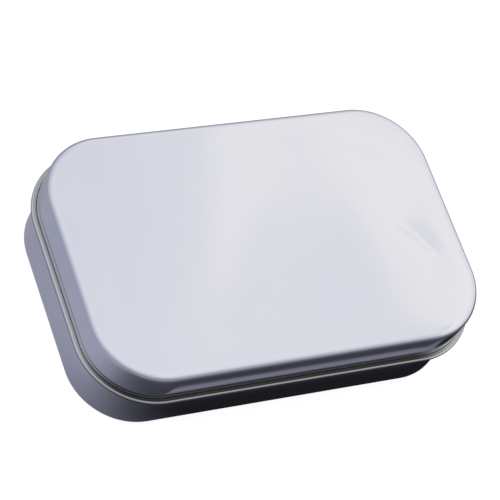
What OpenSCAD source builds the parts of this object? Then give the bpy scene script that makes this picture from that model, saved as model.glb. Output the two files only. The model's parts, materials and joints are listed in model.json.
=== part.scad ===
// Card game tin with a hinged slip lid, pressed from two sheets of tinplate.
// The lid's rim is curled outward into a bead. At the back the bead is the hinge pin:
// two tongues lanced from the body wall pass through slots in the lid and curl round it.
// Millimetres. +Z is up, +Y is the hinge side. The origin is the centre of the base.

/* [Tin] */
// Length of the lid over its side walls
lid_w = 112; // [95:1:150]
// Depth of the lid over its front and back walls
lid_d = 72; // [58:1:110]
// Overall height, closed
tin_h = 27.2; // [24:0.2:45]
// Plan radius of the lid's upright corners
corner_r = 18.4; // [10:0.2:26]
// Gap between the lid's skirt and the body's wall, at the sides and the back
wall_gap = 0.4; // [0.2:0.05:0.6]
// Gap left between the lid's front edge and the body's rim as the lid swings past it
swing_gap = 0.12; // [0.05:0.01:0.3]

/* [Lid] */
// Thickness of the lid sheet
lid_t = 0.25; // [0.2:0.01:0.3]
// Height of the lid from its top down to the middle of the bead
skirt_h = 11.3; // [9:0.1:14]
// Outer radius where the top panel turns down into the skirt
lid_edge_r = 2.1; // [1.4:0.1:3.5]
// Outer radius of the bead curled outward at the rim
bead_r = 0.95; // [0.7:0.05:1.2]
// Angle that the sheet turns through in the bead
bead_turn = 300; // [250:5:300]

/* [Body] */
// Thickness of the body sheet
body_t = 0.25; // [0.2:0.01:0.35]
// Outer radius where the wall turns into the base
base_edge_r = 1.4; // [0.8:0.1:3]
// Outer radius of the rim curled inward at the top of the wall
rim_r = 1; // [0.7:0.05:1.2]
// Angle that the sheet turns through in the rim
rim_turn = 300; // [250:5:305]
// Gap between the rim and the curve inside the closed lid
seat_gap = 0.1; // [0.05:0.01:0.2]
// Width of the flat ring that the tin stands on
foot_w = 1.8; // [1:0.1:5]
// Rise of the base panel above that ring, in two quarter bends
panel_rise = 0.6; // [0.4:0.1:1.2]

/* [Hinge] */
// Width of each tongue
tongue_w = 10; // [6:0.5:14]
// Distance from each tongue to where the corner begins to curve
hinge_inset = 8; // [2:0.5:16]
// Gap all round the bead inside a tongue
tongue_gap = 0.08; // [0.04:0.01:0.1]
// Angle that a tongue wraps round the bead
tongue_wrap = 215; // [190:5:225]
// Inner radius of the bend at a tongue's root
root_r = 0.5; // [0.3:0.05:0.8]
// Gap cut on each side of a tongue by the lancing tool
lance_gap = 0.1; // [0.05:0.05:0.3]
// Gap between a tongue's side and the end of its slot in the lid
slot_side_gap = 0.3; // [0.2:0.05:0.8]
// Gap between a tongue and the upper edge of its slot, lid turning
slot_top_gap = 0.35; // [0.2:0.05:1]

/* [Hidden] */
$fn = 96;
cut = 0.02; // how far a punch runs past each face of the sheet

// lid
bead_out = bead_r - lid_t; // middle of the bead, outside the skirt
bead_z = tin_h - skirt_h;
edge_in = lid_edge_r - lid_t;

// rim: its curl lies seat_gap below the panel, or inside the curve of the lid's edge
seat_across = edge_in - wall_gap - rim_r;
seat_reach = edge_in - seat_gap - rim_r;
rim_drop = seat_across > 0
    ? edge_in - rim_r - sqrt(pow(seat_reach, 2) - pow(seat_across, 2))
    : seat_gap;
rim_top = tin_h - lid_t - tidy(rim_drop);

// front: the lid's front edge turns about the hinge, and comes inward as it lifts, so the
// body's front wall stands back from it by enough to let it pass the rim
rim_rise = rim_top - rim_r - bead_z;
front_reach = bead_out + lid_d - lid_t; // from the hinge axis to the inside of the front skirt
rim_reach = front_reach - rim_r;
front_gap = tidy(rim_reach - sqrt(pow(rim_reach - swing_gap, 2) - pow(rim_rise, 2)));

// body
body_w = lid_w - 2 * (lid_t + wall_gap);
body_d = lid_d - 2 * lid_t - wall_gap - front_gap;
body_r = corner_r - lid_t - wall_gap;
step_r = panel_rise / 2; // middle of the sheet in the bends up to the base panel
foot_in = base_edge_r + foot_w;
panel_in = foot_in + 2 * step_r; // base panel, inside the wall's outer face

// hinge: its axis is the middle of the bead on the back wall
lid_y = (wall_gap - front_gap) / 2; // middle of the lid, from the middle of the body
hinge_y = lid_y + lid_d / 2 + bead_out;
hinge_x = lid_w / 2 - corner_r - hinge_inset - tongue_w / 2; // middle of a tongue
wall_y = -(bead_r + wall_gap); // body wall's outer face, from the hinge axis
curl_in = bead_r + tongue_gap;
curl_out = curl_in + body_t;
root_z = -(curl_out + root_r); // where a tongue leaves the wall, from the hinge axis
tongue_length = 90 * (root_r + body_t / 2) * PI / 180
    + (-wall_y - root_r)
    + tongue_wrap * (curl_in + body_t / 2) * PI / 180;
slot_w = tongue_w + 2 * slot_side_gap;
slot_h = sqrt(pow(curl_out + slot_top_gap, 2) - pow(bead_out, 2));

// Rounds a length up to a hundredth of a millimetre
function tidy(length) = ceil(100 * length - 0.001) / 100;

// Sector of a disc, from one angle anticlockwise to another, reaching past radius r
module wedge(r, from, to) {
    polygon([[0, 0], for (i = [0:3]) 3 * r * [
        cos(from + (to - from) * i / 3),
        sin(from + (to - from) * i / 3)
    ]]);
}

// Sheet of thickness t bent to outer radius r, from one angle through a turn anticlockwise
module bend(r, t, from, turn) {
    difference() {
        circle(r);
        circle(r - t);
        wedge(r, from + turn, from + 360);
    }
}

// Rounded rectangle
module plan(w, d, r) {
    square([w - 2 * r, d], center = true);
    square([w, d - 2 * r], center = true);
    for (x = [-1, 1], y = [-1, 1])
        translate([x * (w / 2 - r), y * (d / 2 - r)])
            circle(r);
}

// Sweeps a wall section round a rounded rectangle. The section's x is out from the wall.
module wall_sweep(w, d, r) {
    for (q = [0:3]) {
        across = q % 2 == 0 ? w : d;
        along = q % 2 == 0 ? d : w;
        rotate(90 * q) {
            translate([across / 2, along / 2 - r, 0])
                rotate([90, 0, 0])
                    linear_extrude(along - 2 * r) children();
            translate([across / 2 - r, along / 2 - r, 0])
                rotate_extrude(angle = 90) translate([r, 0]) children();
        }
    }
}

// Lays a section drawn as (back, up) from the hinge axis along X, once for each tongue
module at_hinges(width) {
    for (x = [-1, 1])
        translate([x * hinge_x - width / 2, hinge_y, bead_z])
            rotate([90, 0, 90])
                linear_extrude(width) children();
}

module lid_section() {
    translate([-lid_edge_r, tin_h - lid_edge_r])
        bend(lid_edge_r, lid_t, 0, 90);
    translate([-lid_t, bead_z])
        square([lid_t, skirt_h - lid_edge_r]);
    translate([bead_out, bead_z])
        bend(bead_r, lid_t, 180, bead_turn);
}

module lid_panel() {
    translate([0, 0, tin_h - lid_t])
        linear_extrude(lid_t)
            plan(lid_w - 2 * lid_edge_r, lid_d - 2 * lid_edge_r, corner_r - lid_edge_r);
}

// Slot pierced in the back skirt just above the bead, for one tongue to pass through
module slot_punch() {
    translate([-bead_r - cut, 0])
        square([lid_t + 2 * cut, slot_h]);
}

module tin_lid() {
    color("gainsboro")
        difference() {
            translate([0, lid_y, 0]) {
                wall_sweep(lid_w, lid_d, corner_r) lid_section();
                lid_panel();
            }
            at_hinges(slot_w) slot_punch();
        }
}

// Base sheet from the wall's curve inward: the flat ring, then two bends up to the panel
module foot_section() {
    translate([-foot_in, 0])
        square([foot_w, body_t]);
    translate([-foot_in, body_t / 2 + step_r])
        bend(step_r + body_t / 2, body_t, 180, 90);
    translate([-panel_in, body_t / 2 + step_r])
        bend(step_r + body_t / 2, body_t, 0, 90);
}

module body_section() {
    foot_section();
    translate([-base_edge_r, base_edge_r])
        bend(base_edge_r, body_t, 270, 90);
    translate([-body_t, base_edge_r])
        square([body_t, rim_top - rim_r - base_edge_r]);
    translate([-rim_r, rim_top - rim_r])
        bend(rim_r, body_t, 0, rim_turn);
}

module base_panel() {
    translate([0, 0, panel_rise])
        linear_extrude(body_t)
            plan(body_w - 2 * panel_in, body_d - 2 * panel_in, body_r - panel_in);
}

// A tongue from its root in the wall: out under the bead, then up and over it
module tongue_section() {
    translate([wall_y - body_t, root_z - body_t])
        square(body_t);
    translate([wall_y + root_r, root_z])
        bend(root_r + body_t, body_t, 90, 90);
    translate([wall_y + root_r, -curl_out])
        square([-wall_y - root_r, body_t]);
    bend(curl_out, body_t, 270, tongue_wrap);
}

// Window left in the wall by a tongue, as high as the tongue is long when flat
module window_punch() {
    translate([wall_y - body_t - cut, root_z])
        square([body_t + 2 * cut, tongue_length]);
}

module tin_body() {
    color("gainsboro")
        union() {
            difference() {
                union() {
                    wall_sweep(body_w, body_d, body_r) body_section();
                    base_panel();
                }
                at_hinges(tongue_w + 2 * lance_gap) window_punch();
            }
            at_hinges(tongue_w) tongue_section();
        }
}

tin_body();
tin_lid();
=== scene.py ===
import json
import math

import bpy
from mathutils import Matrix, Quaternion, Vector


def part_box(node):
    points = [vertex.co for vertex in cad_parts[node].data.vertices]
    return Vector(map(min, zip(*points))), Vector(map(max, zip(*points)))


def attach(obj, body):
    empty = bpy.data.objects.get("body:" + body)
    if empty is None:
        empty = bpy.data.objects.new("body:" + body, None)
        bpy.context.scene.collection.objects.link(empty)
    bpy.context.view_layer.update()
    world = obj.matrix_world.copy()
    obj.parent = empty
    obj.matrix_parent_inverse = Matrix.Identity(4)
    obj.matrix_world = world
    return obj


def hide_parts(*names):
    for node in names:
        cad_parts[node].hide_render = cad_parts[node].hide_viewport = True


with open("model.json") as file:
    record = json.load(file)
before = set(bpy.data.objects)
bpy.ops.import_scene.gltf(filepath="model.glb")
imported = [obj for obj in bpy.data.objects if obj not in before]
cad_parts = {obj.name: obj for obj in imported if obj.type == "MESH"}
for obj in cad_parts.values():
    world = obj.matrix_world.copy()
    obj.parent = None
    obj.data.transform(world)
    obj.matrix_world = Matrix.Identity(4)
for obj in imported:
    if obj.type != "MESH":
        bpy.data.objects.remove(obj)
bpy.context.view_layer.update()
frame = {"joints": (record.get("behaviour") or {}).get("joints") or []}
mm = 0.001
lidLow, lidHigh = [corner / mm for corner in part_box("tin_lid")]
bodyLow, bodyHigh = [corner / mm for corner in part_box("tin_body")]
hingePin = Vector(frame["joints"][0]["pos_m"]) / mm
print("frame loaded")

# Sizes are in millimetres and angles in degrees, as in the part's source.
sheet = {
    "thickness": 0.25,
    "cornerSteps": 24,  # faces round each upright corner
    "sideStep": 1.3,  # longest face along a straight side
    "arcStep": 10,  # widest angle of a face round a bend of the section
    "weld": 0.004,
}


def addNode(tree, kind, inputs=None, **settings):
    node = tree.nodes.new(kind)
    for name, value in settings.items():
        setattr(node, name, value)
    for key, value in (inputs or {}).items():
        plug(tree, value, node.inputs[key])
    return node


def plug(tree, value, socket):
    if isinstance(value, bpy.types.NodeSocket):
        tree.links.new(value, socket)
    elif isinstance(value, bpy.types.Node):
        tree.links.new(value.outputs[0], socket)
    else:
        socket.default_value = value


def calc(tree, operation, *values):
    return addNode(tree, "ShaderNodeMath", dict(enumerate(values)), operation=operation).outputs[0]


def vectorCalc(tree, operation, *values):
    return addNode(tree, "ShaderNodeVectorMath", dict(enumerate(values)), operation=operation).outputs[0]


def scaled(tree, vector, factor):
    node = addNode(tree, "ShaderNodeVectorMath", {"Vector": vector, "Scale": factor}, operation="SCALE")
    return node.outputs[0]


def dot(tree, a, b):
    return addNode(tree, "ShaderNodeVectorMath", {0: a, 1: b}, operation="DOT_PRODUCT").outputs["Value"]


def axes(tree, vector):
    return addNode(tree, "ShaderNodeSeparateXYZ", {0: vector}).outputs


def product(tree, first, *rest):
    for value in rest:
        first = calc(tree, "MULTIPLY", first, value)
    return first


def total(tree, first, *rest):
    for value in rest:
        first = calc(tree, "ADD", first, value)
    return first


def compare(tree, operation, a, b):
    return addNode(tree, "FunctionNodeCompare", {"A": a, "B": b}, data_type="FLOAT", operation=operation)


def allOf(tree, *tests):
    result = tests[0]
    for test in tests[1:]:
        result = addNode(tree, "FunctionNodeBooleanMath", {0: result, 1: test}, operation="AND")
    return result


def smoothSpan(tree, value, low, high):
    return addNode(tree, "ShaderNodeMapRange", {
        "Value": value,
        "From Min": low,
        "From Max": high,
    }, interpolation_type="SMOOTHSTEP").outputs[0]


def addSockets(tree, sockets):
    for name, kind in sockets.items():
        tree.interface.new_socket(name, in_out="INPUT", socket_type="NodeSocket" + kind)


def setInputs(modifier, values):
    items = modifier.node_group.interface.items_tree
    sockets = {item.name: item for item in items if item.in_out == "INPUT"}
    for name, value in values.items():
        modifier[sockets[name].identifier] = value


def evenSteps(start, end, step, stops=()):
    # Places from start to end no further apart than step, with every stop among them
    marks = sorted({start, end, *stops}, reverse=end < start)
    places = []
    for a, b in zip(marks, marks[1:]):
        count = max(1, math.ceil(abs(b - a) / step - 1e-6))
        places += [a + (b - a) * k / count for k in range(count)]
    return places + [end]


def arcRows(across, rise, radius, start, turn):
    # Points of an arc in the section, without its first one
    count = math.ceil(abs(turn) / sheet["arcStep"])
    angles = [math.radians(start + turn * k / count) for k in range(1, count + 1)]
    return [(across + radius * math.cos(a), 0, rise + radius * math.sin(a)) for a in angles]


def panelRows(inset, rise, rings, support):
    # From the panel's middle line (draw 1) out to its border (draw 0)
    draws = [1 - k / rings for k in range(rings)] + [support, 0]
    return [(-inset, draw, rise) for draw in draws]


def sectionLine(name, rows):
    # Each vertex holds how far out from the outline, how far drawn to the middle line, and the height
    line = bpy.data.meshes.new(name)
    line.from_pydata([(out * mm, draw, rise * mm) for out, draw, rise in rows], [], [])
    run = [0.0]
    flat = [rows[0][0]]
    for (out, draw, rise), (outNext, drawNext, riseNext) in zip(rows, rows[1:]):
        step = 0 if draw > 0 else math.hypot(outNext - out, riseNext - rise)
        run.append(run[-1] + step)
        flat.append(flat[-1] + step)
    for key, values in (("run", run), ("flat", flat)):
        attribute = line.attributes.new(key, "FLOAT", "POINT")
        attribute.data.foreach_set("value", [value * mm for value in values])
    item = bpy.data.objects.new(name, line)
    bpy.context.scene.collection.objects.link(item)
    return item


def outlineLine(name, length, depth, radius, middleY, backStops):
    # Rounded rectangle from the back right corner anticlockwise, closed by its first point
    points = []
    sides = (
        (0, 1, depth, length),
        (-1, 0, length, depth),
        (0, -1, depth, length),
        (1, 0, length, depth),
    )
    for number, (outX, outY, across, along) in enumerate(sides):
        half = along / 2 - radius
        stops = backStops if number == 0 else ()
        for place in evenSteps(-half, half, sheet["sideStep"], stops):
            x = outX * across / 2 - outY * place
            y = outY * across / 2 + outX * place
            points.append((x, y, outX, outY))
        centreX = outX * (across / 2 - radius) - outY * half
        centreY = outY * (across / 2 - radius) + outX * half
        first = math.atan2(outY, outX)
        for k in range(1, sheet["cornerSteps"]):
            angle = first + math.pi / 2 * k / sheet["cornerSteps"]
            outward = (math.cos(angle), math.sin(angle))
            points.append((centreX + radius * outward[0], centreY + radius * outward[1], *outward))
    points.append(points[0])
    line = bpy.data.meshes.new(name)
    line.from_pydata([(x * mm, (y + middleY) * mm, 0) for x, y, outX, outY in points], [], [])
    outwards = [value for x, y, outX, outY in points for value in (outX, outY, 0)]
    line.attributes.new("outward", "FLOAT_VECTOR", "POINT").data.foreach_set("vector", outwards)
    run = [0.0]
    for a, b in zip(points, points[1:]):
        run.append(run[-1] + math.dist(a[:2], b[:2]) * mm)
    line.attributes.new("run", "FLOAT", "POINT").data.foreach_set("value", run)
    item = bpy.data.objects.new(name, line)
    bpy.context.scene.collection.objects.link(item)
    return item


def buildPressedSheet():
    # One face of a pressed sheet: the section line is carried round the outline
    tree = bpy.data.node_groups.new("pressedSheet", "GeometryNodeTree")
    addSockets(tree, {
        "Section": "Geometry",
        "Outline": "Object",
        "Middle Share": "Float",
        "Middle Y": "Float",
        "Turn Faces": "Bool",
        "Wave Depth": "Float",
        "Wave Scale": "Float",
        "Wave Seed": "Float",
        "Crease Start": "Vector",
        "Crease End": "Vector",
        "Crease Gentle Width": "Float",
        "Crease Steep Width": "Float",
        "Crease Depth": "Float",
        "Weld": "Float",
        "Finish": "Material",
    })
    tree.interface.new_socket("Sheet", in_out="OUTPUT", socket_type="NodeSocketGeometry")
    given = addNode(tree, "NodeGroupInput").outputs
    outline = addNode(tree, "GeometryNodeObjectInfo", {"Object": given["Outline"]}).outputs["Geometry"]

    def countOf(geometry):
        return addNode(tree, "GeometryNodeAttributeDomainSize", {"Geometry": geometry}, component="MESH")

    columns = countOf(outline)
    rows = countOf(given["Section"])
    grid = addNode(tree, "GeometryNodeMeshGrid", {"Vertices X": columns, "Vertices Y": rows})
    index = addNode(tree, "GeometryNodeInputIndex")
    column = calc(tree, "FLOOR", calc(tree, "DIVIDE", calc(tree, "ADD", index, 0.5), rows))
    row = calc(tree, "SUBTRACT", index, calc(tree, "MULTIPLY", column, rows))

    def sample(source, attribute, kind, place):
        if attribute == "position":
            value = addNode(tree, "GeometryNodeInputPosition")
        else:
            value = addNode(tree, "GeometryNodeInputNamedAttribute", {"Name": attribute}, data_type=kind)
        inputs = {"Geometry": source, "Value": value, "Index": place}
        return addNode(tree, "GeometryNodeSampleIndex", inputs, data_type=kind).outputs[0]

    edge = sample(outline, "position", "FLOAT_VECTOR", column)
    outward = sample(outline, "outward", "FLOAT_VECTOR", column)
    around = sample(outline, "run", "FLOAT", column)
    place = axes(tree, sample(given["Section"], "position", "FLOAT_VECTOR", row))
    down = sample(given["Section"], "run", "FLOAT", row)
    flat = sample(given["Section"], "flat", "FLOAT", row)
    middle = addNode(tree, "ShaderNodeCombineXYZ", {
        "X": product(tree, axes(tree, edge)["X"], given["Middle Share"]),
        "Y": given["Middle Y"],
    })

    def drawnIn(across):
        border = vectorCalc(tree, "ADD", edge, scaled(tree, outward, across))
        toMiddle = vectorCalc(tree, "SUBTRACT", middle.outputs[0], border)
        return vectorCalc(tree, "ADD", border, scaled(tree, toMiddle, place["Y"]))

    spot = drawnIn(place["X"])

    # a panel is never quite flat: shallow hollows that fade out at its border
    noise = addNode(tree, "ShaderNodeTexNoise", {
        "Vector": spot,
        "W": given["Wave Seed"],
        "Scale": given["Wave Scale"],
        "Detail": 1.0,
        "Roughness": 0.4,
    }, noise_dimensions="4D")
    fade = smoothSpan(tree, place["Y"], 0.0, 0.3)
    hollow = product(tree, noise, fade, given["Wave Depth"])

    # a crease pressed in from outside: it falls steeply to its line and rises gently beyond it
    line = vectorCalc(tree, "SUBTRACT", given["Crease End"], given["Crease Start"])
    fromStart = vectorCalc(tree, "SUBTRACT", spot, given["Crease Start"])
    lineLength = calc(tree, "MAXIMUM", calc(tree, "SQRT", dot(tree, line, line)), 1e-6)
    share = calc(tree, "DIVIDE", dot(tree, fromStart, line), product(tree, lineLength, lineLength))
    across = vectorCalc(tree, "CROSS_PRODUCT", (0, 0, 1), line)
    aside = calc(tree, "DIVIDE", dot(tree, fromStart, across), lineLength)
    gentle = product(tree, calc(tree, "GREATER_THAN", aside, 0.0), given["Crease Gentle Width"])
    steep = product(tree, calc(tree, "LESS_THAN", aside, 0.0), given["Crease Steep Width"])
    reach = calc(tree, "DIVIDE", aside, total(tree, gentle, steep))
    depth = calc(tree, "POWER", math.e, product(tree, reach, reach, -1.0))
    ends = product(tree, smoothSpan(tree, share, -0.4, 0.3), smoothSpan(tree, share, 1.15, 0.5))
    crease = product(tree, depth, ends, fade, given["Crease Depth"])
    lift = calc(tree, "SUBTRACT", place["Z"], total(tree, hollow, crease))
    position = vectorCalc(tree, "ADD", spot, addNode(tree, "ShaderNodeCombineXYZ", {"Z": lift}))
    wrap = addNode(tree, "ShaderNodeCombineXYZ", {"X": around, "Y": down})

    def storeMap(geometry, name, value):
        # worked out at the vertices, because an index read at a corner is the corner's own
        atPoints = addNode(
            tree, "GeometryNodeFieldOnDomain", {0: value}, data_type="FLOAT_VECTOR", domain="POINT"
        )
        inputs = {"Geometry": geometry, "Name": name, "Value": atPoints}
        return addNode(
            tree, "GeometryNodeStoreNamedAttribute", inputs, data_type="FLOAT2", domain="CORNER"
        )

    # "blank" is the place in the flat sheet before pressing, "wrap" runs round and down the wall
    shell = storeMap(grid.outputs["Mesh"], "blank", drawnIn(flat))
    shell = storeMap(shell, "wrap", wrap)
    shell = addNode(tree, "GeometryNodeSetPosition", {"Geometry": shell, "Position": position})
    shell = addNode(tree, "GeometryNodeMergeByDistance", {"Geometry": shell, "Distance": given["Weld"]})
    shell = addNode(tree, "GeometryNodeFlipFaces", {"Mesh": shell, "Selection": given["Turn Faces"]})
    shell = addNode(tree, "GeometryNodeSetShadeSmooth", {0: shell, "Shade Smooth": True})
    shell = addNode(tree, "GeometryNodeRealizeInstances", {0: shell})
    shell = addNode(tree, "GeometryNodeSetMaterial", {"Geometry": shell, "Material": given["Finish"]})
    addNode(tree, "NodeGroupOutput", {0: shell})
    return tree


def buildHingeOpenings():
    # Pierces two holes in the back wall. A tab that is left in a hole is bent out and curled up.
    tree = bpy.data.node_groups.new("hingeOpenings", "GeometryNodeTree")
    addSockets(tree, {
        "Sheet": "Geometry",
        "Hinge X": "Float",
        "Hole Width": "Float",
        "Hole Bottom": "Float",
        "Hole Top": "Float",
        "Wall Y": "Float",
        "Tab Width": "Float",
        "Tip Split": "Float",
        "Root Radius": "Float",
        "Level Run": "Float",
        "Curl Radius": "Float",
        "Thickness": "Float",
        "Finish": "Material",
    })
    tree.interface.new_socket("Sheet", in_out="OUTPUT", socket_type="NodeSocketGeometry")
    given = addNode(tree, "NodeGroupInput").outputs
    place = axes(tree, addNode(tree, "GeometryNodeInputPosition"))
    fromMiddle = calc(tree, "ABSOLUTE", place["X"])
    fromHinge = calc(tree, "ABSOLUTE", calc(tree, "SUBTRACT", fromMiddle, given["Hinge X"]))
    fromWall = calc(tree, "ABSOLUTE", calc(tree, "SUBTRACT", place["Y"], given["Wall Y"]))
    onWall = compare(tree, "LESS_THAN", fromWall, given["Tip Split"])
    split = calc(tree, "SUBTRACT", given["Hole Top"], product(tree, given["Tip Split"], 0.75))
    inHole = allOf(
        tree,
        compare(tree, "LESS_THAN", fromHinge, product(tree, given["Hole Width"], 0.5)),
        compare(tree, "GREATER_THAN", place["Z"], given["Hole Bottom"]),
        compare(tree, "LESS_THAN", place["Z"], given["Hole Top"]),
        onWall,
    )
    inTab = allOf(
        tree,
        compare(tree, "LESS_THAN", fromHinge, product(tree, given["Tab Width"], 0.5)),
        compare(tree, "LESS_THAN", place["Z"], split),
    )
    outsideTab = addNode(tree, "FunctionNodeBooleanMath", {0: inTab}, operation="NOT")
    cut = addNode(tree, "GeometryNodeDeleteGeometry", {
        "Geometry": given["Sheet"],
        "Selection": allOf(tree, inHole, outsideTab),
    }, domain="FACE")

    # the tab's points go along the bend at its root, the level run and the curl, by their height
    height = calc(tree, "SUBTRACT", place["Z"], given["Hole Bottom"])
    halfSheet = product(tree, given["Thickness"], 0.5)
    rootMiddle = total(tree, given["Root Radius"], halfSheet)
    rootAngle = calc(tree, "MINIMUM", calc(tree, "DIVIDE", height, rootMiddle), math.pi / 2)
    pastRoot = calc(tree, "SUBTRACT", height, product(tree, rootMiddle, math.pi / 2))
    level = calc(tree, "MINIMUM", calc(tree, "MAXIMUM", pastRoot, 0.0), given["Level Run"])
    pastLevel = calc(tree, "MAXIMUM", calc(tree, "SUBTRACT", pastRoot, given["Level Run"]), 0.0)
    curlAngle = calc(tree, "DIVIDE", pastLevel, calc(tree, "SUBTRACT", given["Curl Radius"], halfSheet))

    def ahead(radius, angle):
        return product(tree, radius, calc(tree, "SINE", angle))

    def aside(radius, angle):
        return product(tree, radius, calc(tree, "SUBTRACT", 1.0, calc(tree, "COSINE", angle)))

    rootOut = aside(given["Root Radius"], rootAngle)
    rootUp = ahead(given["Root Radius"], rootAngle)
    curlOut = ahead(given["Curl Radius"], curlAngle)
    curlUp = aside(given["Curl Radius"], curlAngle)
    bent = addNode(tree, "ShaderNodeCombineXYZ", {
        "X": place["X"],
        "Y": total(tree, given["Wall Y"], rootOut, level, curlOut),
        "Z": total(tree, given["Hole Bottom"], rootUp, curlUp),
    })
    reach = total(tree, product(tree, given["Tab Width"], 0.5), given["Tip Split"])
    onTab = allOf(
        tree,
        compare(tree, "LESS_THAN", fromHinge, reach),
        compare(tree, "GREATER_THAN", height, 0.0),
        compare(tree, "LESS_THAN", place["Z"], split),
        onWall,
    )
    moved = {"Geometry": cut, "Selection": onTab, "Position": bent}
    shell = addNode(tree, "GeometryNodeSetPosition", moved)
    shell = addNode(tree, "GeometryNodeRealizeInstances", {0: shell})
    shell = addNode(tree, "GeometryNodeSetMaterial", {"Geometry": shell, "Material": given["Finish"]})
    addNode(tree, "NodeGroupOutput", {0: shell})
    return tree


pressedSheet = buildPressedSheet()
hingeOpenings = buildHingeOpenings()
print("sheet and hinge trees built")


def pressShell(name, rows, outline, sheetInputs, openingInputs, finishes):
    # Runs both trees, gives the sheet its thickness and turns the result into a plain mesh
    source = sectionLine(name + "Section", rows)
    # the tree's own sheet starts with an empty slot, so every finish lies one slot further on
    for finish in (finishes[0], *finishes):
        source.data.materials.append(finish)
    pressing = source.modifiers.new("pressing", "NODES")
    pressing.node_group = pressedSheet
    setInputs(pressing, {
        "Outline": outline,
        "Weld": sheet["weld"] * mm,
        "Finish": finishes[0],
        **sheetInputs,
    })
    piercing = source.modifiers.new("piercing", "NODES")
    piercing.node_group = hingeOpenings
    setInputs(piercing, {
        "Thickness": sheet["thickness"] * mm,
        "Finish": finishes[0],
        **openingInputs,
    })
    gauge = source.modifiers.new("gauge", "SOLIDIFY")
    gauge.thickness = sheet["thickness"] * mm
    gauge.offset = -1
    gauge.use_quality_normals = True
    gauge.material_offset = 1
    gauge.material_offset_rim = 2
    view = bpy.context.evaluated_depsgraph_get()
    pressed = bpy.data.meshes.new_from_object(
        source.evaluated_get(view), preserve_all_data_layers=True, depsgraph=view
    )
    pressed.name = name
    slots = [face.material_index - 1 for face in pressed.polygons]
    pressed.materials.clear()
    for finish in finishes:
        pressed.materials.append(finish)
    pressed.polygons.foreach_set("material_index", slots)
    pressed.set_sharp_from_angle(angle=math.radians(40))
    piece = bpy.data.objects.new(name, pressed)
    bpy.context.scene.collection.objects.link(piece)
    for helper in (source, outline):
        bpy.data.objects.remove(helper)
    print(name, len(pressed.vertices), "vertices", len(pressed.polygons), "faces")
    return piece


def buildGrain():
    # Rolling marks of the mill: fine lines along the sheet
    tree = bpy.data.node_groups.new("rollingGrain", "ShaderNodeTree")
    addSockets(tree, {"Vector": "Vector", "Line Width": "Float", "Line Length": "Float"})
    tree.interface.new_socket("Grain", in_out="OUTPUT", socket_type="NodeSocketFloat")
    given = addNode(tree, "NodeGroupInput").outputs
    stretch = addNode(tree, "ShaderNodeCombineXYZ", {
        "X": calc(tree, "DIVIDE", 1.0, given["Line Length"]),
        "Y": calc(tree, "DIVIDE", 1.0, given["Line Width"]),
    })
    place = vectorCalc(tree, "MULTIPLY", given["Vector"], stretch.outputs[0])
    noise = addNode(tree, "ShaderNodeTexNoise", {
        "Vector": place,
        "Scale": 1.0,
        "Detail": 4.0,
        "Roughness": 0.65,
    })
    addNode(tree, "NodeGroupOutput", {0: noise.outputs["Fac"]})
    return tree


def buildClouds():
    # Broad soft patches, where the lacquer lies a little thicker or the sheet is a little hollow
    tree = bpy.data.node_groups.new("lacquerClouds", "ShaderNodeTree")
    addSockets(tree, {"Vector": "Vector", "Patch Size": "Float", "Seed": "Float"})
    tree.interface.new_socket("Cloud", in_out="OUTPUT", socket_type="NodeSocketFloat")
    given = addNode(tree, "NodeGroupInput").outputs
    noise = addNode(tree, "ShaderNodeTexNoise", {
        "Vector": given["Vector"],
        "W": given["Seed"],
        "Scale": calc(tree, "DIVIDE", 1.0, given["Patch Size"]),
        "Detail": 2.0,
        "Roughness": 0.45,
    }, noise_dimensions="4D")
    soft = addNode(tree, "ShaderNodeMapRange", {
        "Value": noise.outputs["Fac"],
        "From Min": 0.3,
        "From Max": 0.7,
    })
    addNode(tree, "NodeGroupOutput", {0: soft.outputs[0]})
    return tree


def buildScratches():
    # A few hairline scratches from handling
    tree = bpy.data.node_groups.new("hairScratches", "ShaderNodeTree")
    addSockets(tree, {"Vector": "Vector", "Spacing": "Float", "Turn": "Float", "Amount": "Float"})
    tree.interface.new_socket("Scratch", in_out="OUTPUT", socket_type="NodeSocketFloat")
    given = addNode(tree, "NodeGroupInput").outputs
    turned = addNode(tree, "ShaderNodeVectorRotate", {"Vector": given["Vector"], "Angle": given["Turn"]})
    wander = addNode(tree, "ShaderNodeTexNoise", {
        "Vector": given["Vector"],
        "Scale": 35.0,
        "Detail": 1.0,
    })
    shift = scaled(tree, wander.outputs["Color"], 0.004)
    stretch = addNode(tree, "ShaderNodeCombineXYZ", {
        "X": calc(tree, "DIVIDE", 0.12, given["Spacing"]),
        "Y": calc(tree, "DIVIDE", 1.0, given["Spacing"]),
        "Z": calc(tree, "DIVIDE", 1.0, given["Spacing"]),
    })
    place = vectorCalc(tree, "MULTIPLY", vectorCalc(tree, "ADD", turned, shift), stretch.outputs[0])
    cells = addNode(
        tree, "ShaderNodeTexVoronoi", {"Vector": place, "Scale": 1.0}, feature="DISTANCE_TO_EDGE"
    )
    line = addNode(tree, "ShaderNodeMapRange", {
        "Value": cells.outputs["Distance"],
        "From Min": 0.0,
        "From Max": 0.012,
        "To Min": 1.0,
        "To Max": 0.0,
    })
    where = addNode(tree, "ShaderNodeTexNoise", {
        "Vector": given["Vector"],
        "Scale": 90.0,
        "Detail": 2.0,
    })
    some = addNode(tree, "ShaderNodeMapRange", {
        "Value": where.outputs["Fac"],
        "From Min": calc(tree, "SUBTRACT", 0.8, given["Amount"]),
        "From Max": 0.85,
    })
    addNode(tree, "NodeGroupOutput", {0: product(tree, line, some)})
    return tree


rollingGrain = buildGrain()
lacquerClouds = buildClouds()
hairScratches = buildScratches()


def startMaterial(name):
    material = bpy.data.materials.new(name)
    material.use_nodes = True
    tree = material.node_tree
    shader = tree.nodes["Principled BSDF"]
    return material, tree, shader


def useGroup(tree, group, inputs):
    node = tree.nodes.new("ShaderNodeGroup")
    node.node_tree = group
    for name, value in inputs.items():
        plug(tree, value, node.inputs[name])
    return node.outputs[0]


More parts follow.
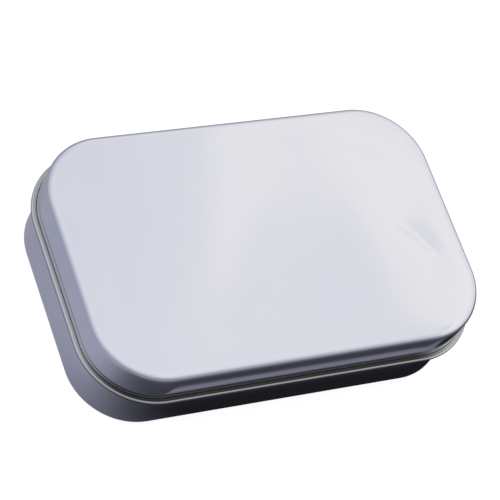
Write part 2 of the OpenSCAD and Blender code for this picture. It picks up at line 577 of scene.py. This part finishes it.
def grainAlong(tree, vector, width, length):
    lengths = {"Line Width": width * mm, "Line Length": length * mm}
    return useGroup(tree, rollingGrain, {"Vector": vector, **lengths})


def cloudsOver(tree, vector, size, seed):
    return useGroup(tree, lacquerClouds, {"Vector": vector, "Patch Size": size * mm, "Seed": seed})


def scratchesOver(tree, vector, spacing, turn, amount):
    inputs = {"Vector": vector, "Spacing": spacing * mm, "Turn": math.radians(turn), "Amount": amount}
    return useGroup(tree, hairScratches, inputs)


def colourMix(tree, factor, first, second):
    node = addNode(tree, "ShaderNodeMix", {"Factor": factor}, data_type="RGBA")
    plug(tree, first, node.inputs[6])
    plug(tree, second, node.inputs[7])
    return node.outputs[2]


def span(tree, value, low, high):
    # Carries a 0 to 1 value to the span from low to high
    inputs = {"Value": value, "To Min": low, "To Max": high}
    return addNode(tree, "ShaderNodeMapRange", inputs).outputs[0]


def vectorSwap(tree, vector):
    parts = axes(tree, vector)
    return addNode(tree, "ShaderNodeCombineXYZ", {"X": parts["Y"], "Y": parts["X"]}).outputs[0]


def sheetPlaces(tree):
    # Place in the flat blank, place round and down the wall, and place in space
    blank = addNode(tree, "ShaderNodeUVMap", uv_map="blank").outputs[0]
    wrap = addNode(tree, "ShaderNodeUVMap", uv_map="wrap").outputs[0]
    return blank, wrap, addNode(tree, "ShaderNodeTexCoord").outputs["Object"]


def sheetRoughness(tree, finish, cloud, grain, scratch):
    spread = finish["grainRoughness"]
    rough = total(tree, span(tree, cloud, *finish["roughness"]), span(tree, grain, -spread, spread))
    return total(tree, rough, product(tree, scratch, finish["scratchRoughness"]))


def finishMetal(tree, shader, colour, rough, relief, height):
    # Bare or lacquered metal with its relief, whose height is in millimetres
    plug(tree, colour, shader.inputs["Base Color"])
    shader.inputs["Metallic"].default_value = 1.0
    plug(tree, rough, shader.inputs["Roughness"])
    bump = addNode(tree, "ShaderNodeBump", {"Height": relief, "Strength": 1.0, "Distance": height * mm})
    plug(tree, bump, shader.inputs["Normal"])


lacquer = {
    "thin": (0.78, 0.80, 0.875, 1),
    "milky": (0.80, 0.805, 0.87, 1),
    "roughness": (0.05, 0.075),
    "coat": 0.25,
    "coatRoughness": 0.05,
    "grain": (0.16, 20),  # width and length of the marks
    "grainRoughness": 0.01,
    "grainRelief": 0.3,
    "drawMarks": (0.6, 30),
    "drawRelief": 0.4,
    "clouds": (22, 3.1),  # size and seed of the patches
    "peel": (1.6, 7.4),
    "peelRelief": 0.35,
    "scratches": (16, 28.65, 0.18),  # spacing, turn and amount
    "scratchRoughness": 0.12,
    "scratchRelief": 1.5,
    "relief": 0.0015,
}


def makeLacqueredTin():
    # Outside of both sheets: tinplate under a clear satin lacquer
    material, tree, shader = startMaterial("lacqueredTin")
    blank, wrap, place = sheetPlaces(tree)
    grain = grainAlong(tree, blank, *lacquer["grain"])
    drawMarks = grainAlong(tree, vectorSwap(tree, wrap), *lacquer["drawMarks"])
    cloud = cloudsOver(tree, place, *lacquer["clouds"])
    peel = cloudsOver(tree, place, *lacquer["peel"])
    scratch = scratchesOver(tree, place, *lacquer["scratches"])
    colour = colourMix(tree, cloud, lacquer["thin"], lacquer["milky"])
    rough = sheetRoughness(tree, lacquer, cloud, grain, scratch)
    relief = total(
        tree,
        span(tree, grain, 0, lacquer["grainRelief"]),
        span(tree, drawMarks, 0, lacquer["drawRelief"]),
        span(tree, peel, 0, lacquer["peelRelief"]),
    )
    relief = calc(tree, "SUBTRACT", relief, product(tree, scratch, lacquer["scratchRelief"]))
    finishMetal(tree, shader, colour, rough, relief, lacquer["relief"])
    shader.inputs["Coat Weight"].default_value = lacquer["coat"]
    shader.inputs["Coat Roughness"].default_value = lacquer["coatRoughness"]
    return material


bareTin = {
    "dull": (0.62, 0.615, 0.61, 1),
    "bright": (0.69, 0.685, 0.675, 1),
    "roughness": (0.15, 0.21),
    "grain": (0.2, 16),
    "grainRoughness": 0.04,
    "grainRelief": 1.0,
    "rollMarks": (0.18, 12),
    "rollRelief": 0.8,
    "clouds": (12, 1.7),
    "scratches": (11, 68.75, 0.22),
    "scratchRoughness": 0.15,
    "scratchRelief": 2.0,
    "relief": 0.002,
    "frontX": (49, 34),  # where the bead's painted front shade fades in, from the first place to the second
    "frontY": (-18, -34),
    "rolledGloss": 0.06,
}

# The bead's colours are set to the photo's tones and paint its light and shade in bands: the pale band is a
# painted highlight, and the rolled underside, the dark band above the highlight and the crevice by the
# skirt are painted shade. Every band is darker at the front, a painted shade of the front. The photo
# doesn't tell a dark surface from one that mirrors something dark. Each zone starts between two angles up
# the bead, counted from its outermost line.
beadPaintedLightZones = {
    "rolled": {"start": (-200, -170), "colour": (0.30, 0.295, 0.29, 1), "front": (0.30, 0.295, 0.29, 1)},
    "pale": {"start": (6, 26), "colour": (0.80, 0.80, 0.81, 1), "front": (0.52, 0.52, 0.53, 1)},
    "dark": {"start": (50, 66), "colour": (0.42, 0.42, 0.42, 1), "front": (0.04, 0.039, 0.038, 1)},
    "crevice": {"start": (88, 98), "colour": (0.48, 0.48, 0.48, 1), "front": (0.07, 0.069, 0.068, 1)},
}


def makeBareTin(name, beadStart=None, beadCurl=None):
    # Inside of a sheet. Past beadStart, a place down the wall, it is rolled out into the bead.
    material, tree, shader = startMaterial(name)
    blank, wrap, place = sheetPlaces(tree)
    grain = grainAlong(tree, blank, *bareTin["grain"])
    rollMarks = grainAlong(tree, wrap, *bareTin["rollMarks"])
    cloud = cloudsOver(tree, place, *bareTin["clouds"])
    scratch = scratchesOver(tree, place, *bareTin["scratches"])
    colour = colourMix(tree, cloud, bareTin["dull"], bareTin["bright"])
    rough = sheetRoughness(tree, bareTin, cloud, grain, scratch)
    if beadStart is not None:
        down = axes(tree, wrap)["Y"]
        # painted shade of the front: by place, the bead's colours turn to each zone's darker front colour
        # on the tin's front side
        frontX, frontY = [
            smoothSpan(tree, axes(tree, place)[axis], *[mark * mm for mark in bareTin["front" + axis]])
            for axis in "XY"
        ]
        front = product(tree, frontY, frontX)

        def onBead(zone):
            places = [(beadStart + math.radians(180 + angle) * beadCurl) * mm for angle in zone["start"]]
            return smoothSpan(tree, down, *places)

        # each zone lays its painted highlight or painted shade over the bead's colour
        for zone in beadPaintedLightZones.values():
            paintedZoneColour = colourMix(tree, front, zone["colour"], zone["front"])
            colour = colourMix(tree, onBead(zone), colour, paintedZoneColour)
        gloss = product(tree, onBead(beadPaintedLightZones["rolled"]), bareTin["rolledGloss"])
        rough = calc(tree, "SUBTRACT", rough, gloss)
    relief = total(
        tree,
        span(tree, grain, 0, bareTin["grainRelief"]),
        span(tree, rollMarks, 0, bareTin["rollRelief"]),
    )
    relief = calc(tree, "SUBTRACT", relief, product(tree, scratch, bareTin["scratchRelief"]))
    finishMetal(tree, shader, colour, rough, relief, bareTin["relief"])
    return material


cutSteel = {
    "dark": (0.42, 0.41, 0.40, 1),
    "pale": (0.56, 0.55, 0.54, 1),
    "roughness": (0.32, 0.5),
    "shearMarks": (0.12, 4),
    "clouds": (4, 5.2),
    "relief": 0.006,
}


def makeCutEdge():
    # Sheared edge of the sheet: grey steel with shear lines across it
    material, tree, shader = startMaterial("cutEdge")
    wrap = addNode(tree, "ShaderNodeUVMap", uv_map="wrap").outputs[0]
    place = addNode(tree, "ShaderNodeTexCoord").outputs["Object"]
    shear = grainAlong(tree, vectorSwap(tree, wrap), *cutSteel["shearMarks"])
    cloud = cloudsOver(tree, place, *cutSteel["clouds"])
    colour = colourMix(tree, cloud, cutSteel["dark"], cutSteel["pale"])
    rough = span(tree, shear, *cutSteel["roughness"])
    finishMetal(tree, shader, colour, rough, shear, cutSteel["relief"])
    return material


lid = {
    "edgeRadius": 2.1,
    "cornerRadius": 18.4,
    "beadRadius": 0.95,
    "beadShown": 0.8,  # thinner than the solids' bead, chosen by the look of the photo's band
    "beadTurn": 308,
    "panelRings": 52,
    "skirtStep": 1.2,
    "waveDepth": 0.09,
    "waveScale": 28.0,
    "waveSeed": 4.2,
    "creaseStart": (39.3, -2.1, 0),
    "creaseEnd": (47.9, -13.4, 0),
    "creaseGentleWidth": 3.8,
    "creaseSteepWidth": 1.1,
    "creaseDepth": 0.053,
}
lid["beadOut"] = lid["beadRadius"] - sheet["thickness"]  # middle of the solids' bead, out from the skirt
lid["curl"] = lid["beadShown"] - sheet["thickness"]  # the same for the bead that is shown
lid["length"] = lidHigh.x - lidLow.x - 2 * (lid["beadOut"] + lid["beadRadius"])
lid["depth"] = lidHigh.y - lidLow.y - 2 * (lid["beadOut"] + lid["beadRadius"])
lid["middleY"] = (lidHigh.y + lidLow.y) / 2
lid["top"] = lidHigh.z
lid["beadStart"] = math.pi / 2 * lid["edgeRadius"] + lid["top"] - lid["edgeRadius"] - hingePin.z

body = {
    "length": bodyHigh.x - bodyLow.x,
    "depth": -2 * bodyLow.y,
    "top": bodyHigh.z,
    "cornerRadius": 17.75,
    "baseEdgeRadius": 1.4,
    "footWidth": 1.8,
    "panelRise": 0.6,
    "rimRadius": 1,
    "rimTurn": 300,
    "panelRings": 14,
    "wallStep": 1.6,
    "waveDepth": -0.04,
    "waveScale": 24.0,
    "waveSeed": 9.6,
}

hinge = {
    "x": 24.6,
    "tongueWidth": 10,
    "tongueWrap": 215,
    "tongueGap": 0.08,
    "rootRadius": 0.5,
    "lanceGap": 0.1,
    "slotSideGap": 0.3,
    "slotTopGap": 0.35,
    "tongueStep": 0.2,
    "tipSplit": 0.03,
}
hinge["curlRadius"] = lid["beadRadius"] + hinge["tongueGap"] + sheet["thickness"]
hinge["root"] = hingePin.z - hinge["curlRadius"] - hinge["rootRadius"]
hinge["run"] = hingePin.y - body["depth"] / 2 - hinge["rootRadius"]  # level part of a tongue
hinge["length"] = (
    math.pi / 2 * (hinge["rootRadius"] + sheet["thickness"] / 2)
    + hinge["run"]
    + math.radians(hinge["tongueWrap"]) * (hinge["curlRadius"] - sheet["thickness"] / 2)
)
hinge["windowTop"] = hinge["root"] + hinge["length"]
hinge["windowWidth"] = hinge["tongueWidth"] + 2 * hinge["lanceGap"]
hinge["slotWidth"] = hinge["tongueWidth"] + 2 * hinge["slotSideGap"]
hinge["slotHeight"] = math.sqrt((hinge["curlRadius"] + hinge["slotTopGap"]) ** 2 - lid["beadOut"] ** 2)
hinge["slotTop"] = hingePin.z + hinge["slotHeight"]


def lidRows():
    edge = lid["edgeRadius"]
    rows = panelRows(edge, lid["top"], lid["panelRings"], 0.012)
    rows += arcRows(-edge, lid["top"] - edge, edge, 90, -90)
    skirt = evenSteps(lid["top"] - edge, hingePin.z, lid["skirtStep"], (hinge["slotTop"],))
    rows += [(0, 0, rise) for rise in skirt[1:]]
    rows += arcRows(lid["curl"], hingePin.z, lid["curl"], 180, lid["beadTurn"])
    return rows


def bodyRows():
    half = sheet["thickness"] / 2
    step = body["panelRise"] / 2
    footIn = body["baseEdgeRadius"] + body["footWidth"]
    panelIn = footIn + 2 * step
    edge = body["baseEdgeRadius"]
    rim = body["rimRadius"]
    windowTop = hinge["windowTop"]
    tongue = evenSteps(hinge["root"], windowTop - hinge["tipSplit"], hinge["tongueStep"])
    rows = panelRows(panelIn, body["panelRise"], body["panelRings"], 0.02)
    rows += arcRows(-panelIn, step + half, step - half, 90, -90)
    rows += arcRows(-footIn, step + half, step + half, 180, 90)
    rows += [(-edge, 0, 0)]
    rows += arcRows(-edge, edge, edge, 270, 90)
    wall = evenSteps(edge, body["top"] - rim, body["wallStep"], (hinge["root"], windowTop))
    wall = sorted({*wall[1:], *tongue})
    wall = [rise for rise in wall if not any(0 < abs(rise - place) < 0.01 for place in tongue)]
    rows += [(0, 0, rise) for rise in wall]
    rows += arcRows(-rim, body["top"] - rim, rim, 0, body["rimTurn"])
    return rows


def hingeStops(*widths):
    ends = [end * width / 2 for width in widths for end in (-1, 1)]
    return [side * (hinge["x"] + end) for side in (-1, 1) for end in ends]


lacqueredTin = makeLacqueredTin()
bareLidTin = makeBareTin("bareLidTin", lid["beadStart"], lid["curl"])
bareBodyTin = makeBareTin("bareBodyTin")
cutEdge = makeCutEdge()
print("finishes made")

lidOutline = outlineLine(
    "lidOutline", lid["length"], lid["depth"], lid["cornerRadius"], lid["middleY"],
    hingeStops(hinge["slotWidth"]),
)
tinLid = pressShell(
    "tinLid",
    lidRows(),
    lidOutline,
    {
        "Middle Share": 1 - lid["depth"] / lid["length"],
        "Middle Y": lid["middleY"] * mm,
        "Turn Faces": True,
        "Wave Depth": lid["waveDepth"] * mm,
        "Wave Scale": lid["waveScale"],
        "Wave Seed": lid["waveSeed"],
        "Crease Start": Vector(lid["creaseStart"]) * mm,
        "Crease End": Vector(lid["creaseEnd"]) * mm,
        "Crease Gentle Width": lid["creaseGentleWidth"] * mm,
        "Crease Steep Width": lid["creaseSteepWidth"] * mm,
        "Crease Depth": lid["creaseDepth"] * mm,
    },
    {
        "Hinge X": hinge["x"] * mm,
        "Hole Width": hinge["slotWidth"] * mm,
        "Hole Bottom": hingePin.z * mm,
        "Hole Top": hinge["slotTop"] * mm,
        "Wall Y": (lid["middleY"] + lid["depth"] / 2) * mm,
        "Tab Width": 0.0,
        "Tip Split": hinge["tipSplit"] * mm,
    },
    (lacqueredTin, bareLidTin, cutEdge),
)

bodyOutline = outlineLine(
    "bodyOutline", body["length"], body["depth"], body["cornerRadius"], 0,
    hingeStops(hinge["tongueWidth"], hinge["windowWidth"]),
)
tinBody = pressShell(
    "tinBody",
    bodyRows(),
    bodyOutline,
    {
        "Middle Share": 1 - body["depth"] / body["length"],
        "Middle Y": 0.0,
        "Turn Faces": False,
        "Wave Depth": body["waveDepth"] * mm,
        "Wave Scale": body["waveScale"],
        "Wave Seed": body["waveSeed"],
        "Crease Depth": 0.0,
    },
    {
        "Hinge X": hinge["x"] * mm,
        "Hole Width": hinge["windowWidth"] * mm,
        "Hole Bottom": hinge["root"] * mm,
        "Hole Top": hinge["windowTop"] * mm,
        "Wall Y": body["depth"] / 2 * mm,
        "Tab Width": hinge["tongueWidth"] * mm,
        "Tip Split": hinge["tipSplit"] * mm,
        "Root Radius": hinge["rootRadius"] * mm,
        "Level Run": hinge["run"] * mm,
        "Curl Radius": hinge["curlRadius"] * mm,
    },
    (lacqueredTin, bareBodyTin, cutEdge),
)
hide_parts("tin_lid")
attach(tinLid, "lid")
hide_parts("tin_body")
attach(tinBody, "base")
print("lid and body pressed")

room = {
    "frontWall": (0.27, 0.27, 0.31, 1),
    "otherWalls": (
        {"side": (-0.866, 0.5, 0), "reach": (0, 0.9), "colour": (0.42, 0.435, 0.50, 1)},
        {"side": (0.26, 0.966, 0), "reach": (0, 0.9), "colour": (0.56, 0.56, 0.60, 1)},
        {"side": (0.996, -0.087, 0), "reach": (0.35, 0.95), "colour": (0.80, 0.78, 0.80, 1)},
    ),
    "ceiling": (0.85, 0.856, 0.89, 1),
    "ceilingGlow": (0.98, 0.99, 0.93, 1),
    "glowEdge": (0, -0.045, 0.035),  # turn, offset and softness, as in the edges of the bank
    "glowLevel": 0.3,
    "lightBank": (1.04, 0.995, 0.95, 1),
    "bankLevel": 0.85,
    "leftEdge": (0, -0.0164, 0.005),
    "nearEdge": (203.8, 0.001, 0.006),
    "nearLevel": 0.7,
    "gapEdge": (-90, 0.016, 0.014),
    "gapLevel": 0.45,
    "farEdge": (-35.8, 0.0477, 0.006),
    "farFade": (-56.3, 0.0674, 0.007),
    "farLevels": (1.0, 0.6),
    # what the lid's panel mirrors at the middle of the picture, and one step right and down from there
    "mirrored": ((0.442, 0.403, 0.802), (0.889, -0.318, -0.330), (-0.123, -0.858, 0.498)),
}


def buildWorld():
    # A pale ceiling that darkens towards the walls, with a large light bank over the far right
    world = bpy.data.worlds.new("studioWorld")
    bpy.context.scene.world = world
    world.use_nodes = True
    tree = world.node_tree
    tree.nodes.clear()
    direction = addNode(tree, "ShaderNodeTexCoord").outputs["Generated"]
    height = axes(tree, direction)["Z"]

    def towards(axis, start, end):
        return smoothSpan(tree, dot(tree, direction, axis), start, end)

    def bankEdge(turn, offset, softness):
        # Edge of a part of the light bank, turned in the mirrored view, offset from its middle
        ray, right, down = (Vector(axis) for axis in room["mirrored"])
        angle = math.radians(turn)
        return towards(math.cos(angle) * right + math.sin(angle) * down - offset * ray, -softness, softness)

    walls = room["frontWall"]
    for wall in room["otherWalls"]:
        walls = colourMix(tree, towards(wall["side"], *wall["reach"]), walls, wall["colour"])
    front = towards((0.57, -0.82, 0), 0.5, 0.9)
    ceilingStart = calc(tree, "SUBTRACT", 1.0, product(tree, front, 0.25))
    colour = colourMix(tree, smoothSpan(tree, height, 0, ceilingStart), walls, room["ceiling"])
    overhead = smoothSpan(tree, height, 0.55, 0.8)
    glow = product(tree, bankEdge(*room["glowEdge"]), overhead, room["glowLevel"])
    colour = colourMix(tree, glow, colour, room["ceilingGlow"])

    # three parts of the bank: the near one, the dimmer gap beside it and the far one
    leftEdge = bankEdge(*room["leftEdge"])
    nearBank = product(tree, leftEdge, bankEdge(*room["nearEdge"]), room["nearLevel"])
    gap = product(tree, leftEdge, bankEdge(*room["gapEdge"]), room["gapLevel"])
    farLevel = span(tree, bankEdge(*room["farFade"]), *room["farLevels"])
    farBank = product(tree, bankEdge(*room["farEdge"]), farLevel)
    bank = calc(tree, "MAXIMUM", calc(tree, "MAXIMUM", nearBank, farBank), gap)
    bank = product(tree, bank, smoothSpan(tree, height, 0.1, 0.6), room["bankLevel"])
    colour = colourMix(tree, bank, colour, room["lightBank"])

    mirrored = addNode(tree, "ShaderNodeBackground", {"Color": colour})
    white = addNode(tree, "ShaderNodeBackground", {"Color": (1, 1, 1, 1)})
    seen = addNode(tree, "ShaderNodeLightPath").outputs["Is Camera Ray"]
    mix = addNode(tree, "ShaderNodeMixShader", {0: seen, 1: mirrored, 2: white})
    addNode(tree, "ShaderNodeOutputWorld", {"Surface": mix})


table = {
    "size": 3000,
    "drop": 0.05,  # below the tin's base, so that the two never share a plane
    "paper": (0.17, 0.17, 0.17, 1),
    "glow": (0.91, 0.91, 0.91, 1),
    # from here on: what the metal mirrors, with the tin's shadow and a strip of light painted on it
    "tint": (0.96, 0.98, 1.2),
    "darkest": 0.0125,
    "dark": {"X": 55, "Y": 35, "round": 3},  # painted shadow of the tin: darkest as far out from the middle of the tin as this
    "farLevel": 0.5,
    "farReach": 110,
    "litBehind": 26,
    "litEdge": (-8, 41),
    "litLevels": (0.335, 0.375),
    "litStep": (4, 9),
    # a painted strip of light on the table, which the front of the lid mirrors
    "stripNear": (-45.95, -45.25),
    "stripFar": (-41, -42.5),
    "stripMiddle": 9,
    "stripEnds": (60, 35),
    "stripLevel": 0.165,
}


def buildFloor():
    # White to the camera. What the metal mirrors is greyer, with the tin's shadow painted on it, darkest
    # close to the tin's front, and a painted strip of light.
    plane = bpy.data.meshes.new("studioFloor")
    half = table["size"] / 2 * mm
    corners = [(-half, -half), (half, -half), (half, half), (-half, half)]
    plane.from_pydata([(x, y, -table["drop"] * mm) for x, y in corners], [], [(0, 1, 2, 3)])
    floor = bpy.data.objects.new("studioFloor", plane)
    bpy.context.scene.collection.objects.link(floor)
    material, tree, shader = startMaterial("floorPaper")
    tree.nodes.remove(shader)
    place = axes(tree, scaled(tree, addNode(tree, "ShaderNodeTexCoord").outputs["Object"], 1 / mm))

    def past(value, reach):
        return calc(tree, "MAXIMUM", calc(tree, "SUBTRACT", value, reach), 0.0)

    # painted light and shadow: it grows paler away from the tin, and is painted as evenly lit behind it and
    # to its left
    aslant = product(tree, calc(tree, "SUBTRACT", place["Y"], place["X"]), math.sqrt(0.5))
    behind = calc(tree, "MAXIMUM", aslant, total(tree, place["Y"], table["litBehind"]))
    lit = smoothSpan(tree, behind, *table["litEdge"])
    outX, outY = [past(calc(tree, "ABSOLUTE", place[axis]), table["dark"][axis]) for axis in "XY"]
    away = calc(tree, "SQRT", total(tree, product(tree, outX, outX), product(tree, outY, outY)))
    away = past(away, table["dark"]["round"])
    far = product(tree, away, table["farLevel"])
    far = calc(tree, "DIVIDE", far, total(tree, away, table["farReach"]))
    litLevel = span(tree, smoothSpan(tree, outX, *table["litStep"]), *table["litLevels"])
    unlit = product(tree, far, calc(tree, "SUBTRACT", 1.0, lit))
    shade = total(tree, unlit, product(tree, lit, litLevel))

    # a painted strip of light on the table just before the tin, which the front of the lid mirrors
    alongStrip = calc(tree, "ABSOLUTE", calc(tree, "SUBTRACT", place["X"], table["stripMiddle"]))
    paintedLightStrip = product(
        tree,
        smoothSpan(tree, place["Y"], *table["stripNear"]),
        smoothSpan(tree, place["Y"], *table["stripFar"]),
        smoothSpan(tree, alongStrip, *table["stripEnds"]),
        table["stripLevel"],
    )
    shade = total(tree, shade, paintedLightStrip, table["darkest"])

    mirrored = addNode(tree, "ShaderNodeEmission", {"Color": scaled(tree, table["tint"], shade)})
    paper = addNode(tree, "ShaderNodeBsdfDiffuse", {"Color": table["paper"]})
    glow = addNode(tree, "ShaderNodeEmission", {"Color": table["glow"]})
    bright = addNode(tree, "ShaderNodeAddShader", {0: paper, 1: glow})
    light = addNode(tree, "ShaderNodeLightPath").outputs
    surface = addNode(tree, "ShaderNodeMixShader", {0: light["Is Camera Ray"], 1: paper, 2: bright})
    surface = addNode(tree, "ShaderNodeMixShader", {0: light["Is Glossy Ray"], 1: surface, 2: mirrored})
    # clear from below, so that the tin's underside can be looked at
    below = addNode(tree, "ShaderNodeNewGeometry").outputs["Backfacing"]
    clear = addNode(tree, "ShaderNodeBsdfTransparent")
    surface = addNode(tree, "ShaderNodeMixShader", {0: below, 1: surface, 2: clear})
    plug(tree, surface, tree.nodes["Material Output"].inputs["Surface"])
    plane.materials.append(material)


lamps = {
    "keySoftbox": {"place": (550, 450, 750), "size": 700, "power": 4.0},
    "leftSoftbox": {"place": (-800, 100, 450), "size": 600, "power": 1.5},
}


def buildLamps():
    for name, lamp in lamps.items():
        light = bpy.data.lights.new(name, "AREA")
        light.energy = lamp["power"]
        light.size = lamp["size"] * mm
        item = bpy.data.objects.new(name, light)
        item.location = Vector(lamp["place"]) * mm
        item.rotation_euler = (-Vector(lamp["place"])).to_track_quat("-Z", "Y").to_euler()
        item.visible_glossy = False
        bpy.context.scene.collection.objects.link(item)


photoCamera = {
    "aim": (1.24, 3.57, 13.0),
    "distance": 619.5,
    "azimuth": -47.66,
    "elevation": 53.293,
    "roll": 33.491,
    "lens": 167.29,
}


def buildCamera():
    azimuth = math.radians(photoCamera["azimuth"])
    elevation = math.radians(photoCamera["elevation"])
    outward = Vector((
        math.cos(elevation) * math.sin(azimuth),
        -math.cos(elevation) * math.cos(azimuth),
        math.sin(elevation),
    ))
    lens = bpy.data.cameras.new("photoCamera")
    lens.lens = photoCamera["lens"]
    lens.sensor_width = 36
    lens.clip_start = 0.01
    camera = bpy.data.objects.new("photoCamera", lens)
    camera.location = (Vector(photoCamera["aim"]) + photoCamera["distance"] * outward) * mm
    roll = Quaternion((0, 0, 1), math.radians(photoCamera["roll"]))
    camera.rotation_mode = "QUATERNION"
    camera.rotation_quaternion = (-outward).to_track_quat("-Z", "Y") @ roll
    bpy.context.scene.collection.objects.link(camera)
    bpy.context.scene.camera = camera


buildWorld()
buildFloor()
buildLamps()
buildCamera()
bpy.context.scene.view_settings.view_transform = "Standard"
print("studio set")
